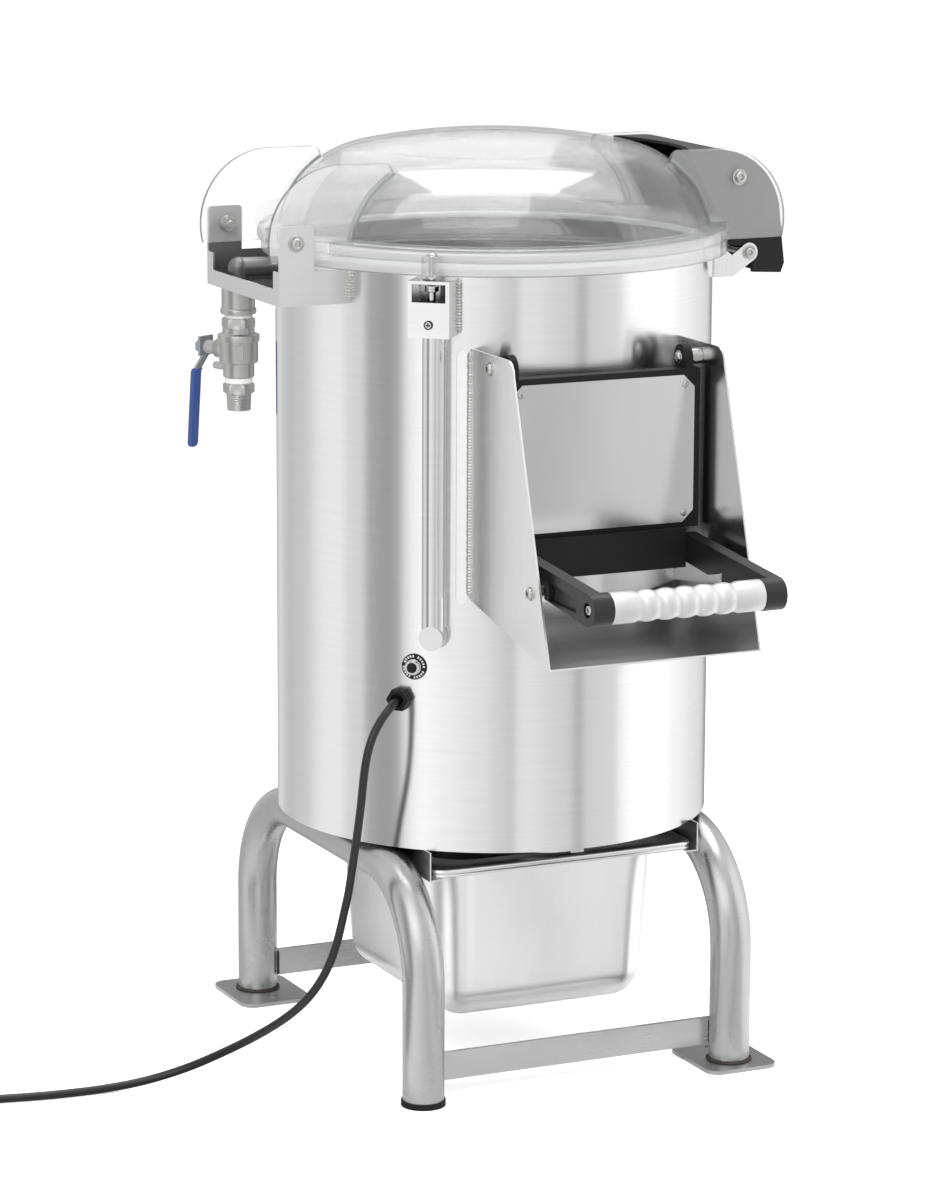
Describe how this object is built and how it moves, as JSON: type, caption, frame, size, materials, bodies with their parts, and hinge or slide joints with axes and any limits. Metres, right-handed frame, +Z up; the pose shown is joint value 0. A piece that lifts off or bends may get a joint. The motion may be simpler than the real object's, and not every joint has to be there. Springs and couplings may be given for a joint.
{
  "type": "electric potato peeler",
  "caption": "Floor-standing electric potato peeler with a steel drum on a tube frame, clear hinged lid, discharge door with a lift lever, water valve and waste pan.",
  "frame": {"origin": "on the drum's axis at floor level", "axes": "+Z up along the drum's axis, -Y towards the discharge door, +X towards the lid's latch"},
  "size_m": [1.0238, 0.712, 0.958],
  "materials": {
    "tube_steel": "drawn stainless tube, satin",
    "sheet_steel": "brushed stainless sheet, fine vertical grain",
    "pan_steel": "satin pressed stainless sheet",
    "bright_steel": "polished stainless fasteners",
    "machined_steel": "turned steel",
    "cast_steel": "matt investment cast stainless",
    "cast_iron": "painted cast iron",
    "motor_paint": "grey-blue enamel",
    "zinc_steel": "zinc plated sheet and posts",
    "abrasive": "coarse silicon carbide grit in resin",
    "grip_aluminium": "matt blasted aluminium",
    "clear_plastic": "clear polycarbonate moulding",
    "black_plastic": "black glass-filled nylon, fine grain",
    "black_rubber": "matt black rubber",
    "cord_rubber": "smooth black rubber sheath",
    "grey_plastic": "light grey enclosure plastic",
    "blue_vinyl": "dipped blue vinyl",
    "green_button": "glossy green",
    "red_button": "glossy red"
  },
  "bodies": {
    "stand": {"left_leg_arch": "tube_steel", "right_leg_arch": "tube_steel", "stretchers": "tube_steel", "foot_plates": "tube_steel", "foot_caps": "black_rubber", "pan_rails": "sheet_steel", "drum_shell": "sheet_steel", "discharge_throat": "sheet_steel", "rim_gasket": "black_rubber", "chamber_floor": "sheet_steel", "bottom_plate": "zinc_steel", "bearing_housing": "cast_iron", "shaft_bearings": "machined_steel", "drive_belt": "black_rubber", "motor": "motor_paint", "motor_bracket": "zinc_steel", "electrics_box": "grey_plastic", "reset_breaker": "black_plastic", "cable_gland": "black_plastic", "power_cord": "cord_rubber", "cord_coil": "cord_rubber", "power_plug": "black_plastic", "left_side_plate": "sheet_steel", "right_side_plate": "sheet_steel", "chute_floor": "sheet_steel", "door_hinge_bolts": "bright_steel", "rest_pins": "bright_steel", "lid_hinge_bracket": "sheet_steel", "lid_hinge_bolts": "bright_steel", "latch_bracket": "sheet_steel", "keeper_pin": "bright_steel", "interlock_box": "sheet_steel", "interlock_tube": "sheet_steel", "microswitch": "black_plastic", "valve_socket": "cast_steel", "valve_body": "cast_steel", "valve_nipple": "cast_steel", "spray_elbow": "sheet_steel", "control_panel": "sheet_steel"},
    "disc_set": {"drive_shaft": "machined_steel", "peeling_disc": "abrasive", "disc_knob": "bright_steel", "driven_pulley": "cast_iron"},
    "motor_rotor": {"motor_pulley": "cast_iron"},
    "door": {"door_body": "black_plastic", "door_plate": "sheet_steel", "door_screws": "bright_steel"},
    "lever": {"lever_arms": "black_plastic", "lever_grip": "grip_aluminium"},
    "lid": {"lid_dome": "clear_plastic", "lid_pusher": "bright_steel", "latch_bolts": "bright_steel"},
    "latch": {"latch_handle": "black_plastic"},
    "interlock_plunger": {"plunger": "bright_steel"},
    "reset": {"reset_button": "black_plastic"},
    "start": {"start_button": "green_button"},
    "stop": {"stop_button": "red_button"},
    "valve_handle": {"valve_lever": "zinc_steel", "lever_sleeve": "blue_vinyl"},
    "pan": {"waste_pan": "pan_steel"}
  },
  "joints": [
    {"name": "disc_spin", "type": "hinge", "parent": "stand", "child": "disc_set", "pos_m": [0, 0, 0.54], "axis": [0, 0, 1], "continuous": true},
    {"name": "motor_spin", "type": "hinge", "parent": "stand", "child": "motor_rotor", "pos_m": [0, 0.12, 0.3], "axis": [0, 0, 1], "continuous": true},
    {"name": "door_hinge", "type": "hinge", "parent": "stand", "child": "door", "pos_m": [0, -0.24, 0.75], "axis": [-1, 0, 0], "range_deg": [0, 75]},
    {"name": "lever_lift", "type": "hinge", "parent": "door", "child": "lever", "pos_m": [0, -0.256, 0.561], "axis": [-1, 0, 0], "range_deg": [0, 35]},
    {"name": "lid_hinge", "type": "hinge", "parent": "stand", "child": "lid", "pos_m": [-0.261, 0, 0.863], "axis": [0, -1, 0], "range_deg": [0, 95]},
    {"name": "latch_turn", "type": "hinge", "parent": "lid", "child": "latch", "pos_m": [0.235, 0, 0.908], "axis": [0, -1, 0], "range_deg": [0, 14]},
    {"name": "plunger_slide", "type": "slide", "parent": "stand", "child": "interlock_plunger", "axis": [0, 0, 1], "range_m": [0, 0.008]},
    {"name": "reset_push", "type": "slide", "parent": "stand", "child": "reset", "axis": [0.712, 0.7022, 0], "range_m": [0, 0.0025], "stiffness_N_per_m": 400},
    {"name": "start_push", "type": "slide", "parent": "stand", "child": "start", "axis": [-0.4226, -0.9063, 0], "range_m": [0, 0.003], "stiffness_N_per_m": 400},
    {"name": "stop_push", "type": "slide", "parent": "stand", "child": "stop", "axis": [-0.4226, -0.9063, 0], "range_m": [0, 0.003], "stiffness_N_per_m": 400},
    {"name": "valve_turn", "type": "hinge", "parent": "stand", "child": "valve_handle", "pos_m": [-0.262, 0.055, 0.7364], "axis": [-0.4384, 0.8988, 0], "range_deg": [0, 90]},
    {"name": "pan_slide", "type": "slide", "parent": "stand", "child": "pan", "axis": [0, -1, 0], "range_m": [0, 0.3]}
  ],
  "couplings": [
    {"joint": "motor_spin", "follows": "disc_spin", "ratio": 2.9704},
    {"joint": "plunger_slide", "follows": "lid_hinge", "m_per_rad": 0.00482}
  ]
}
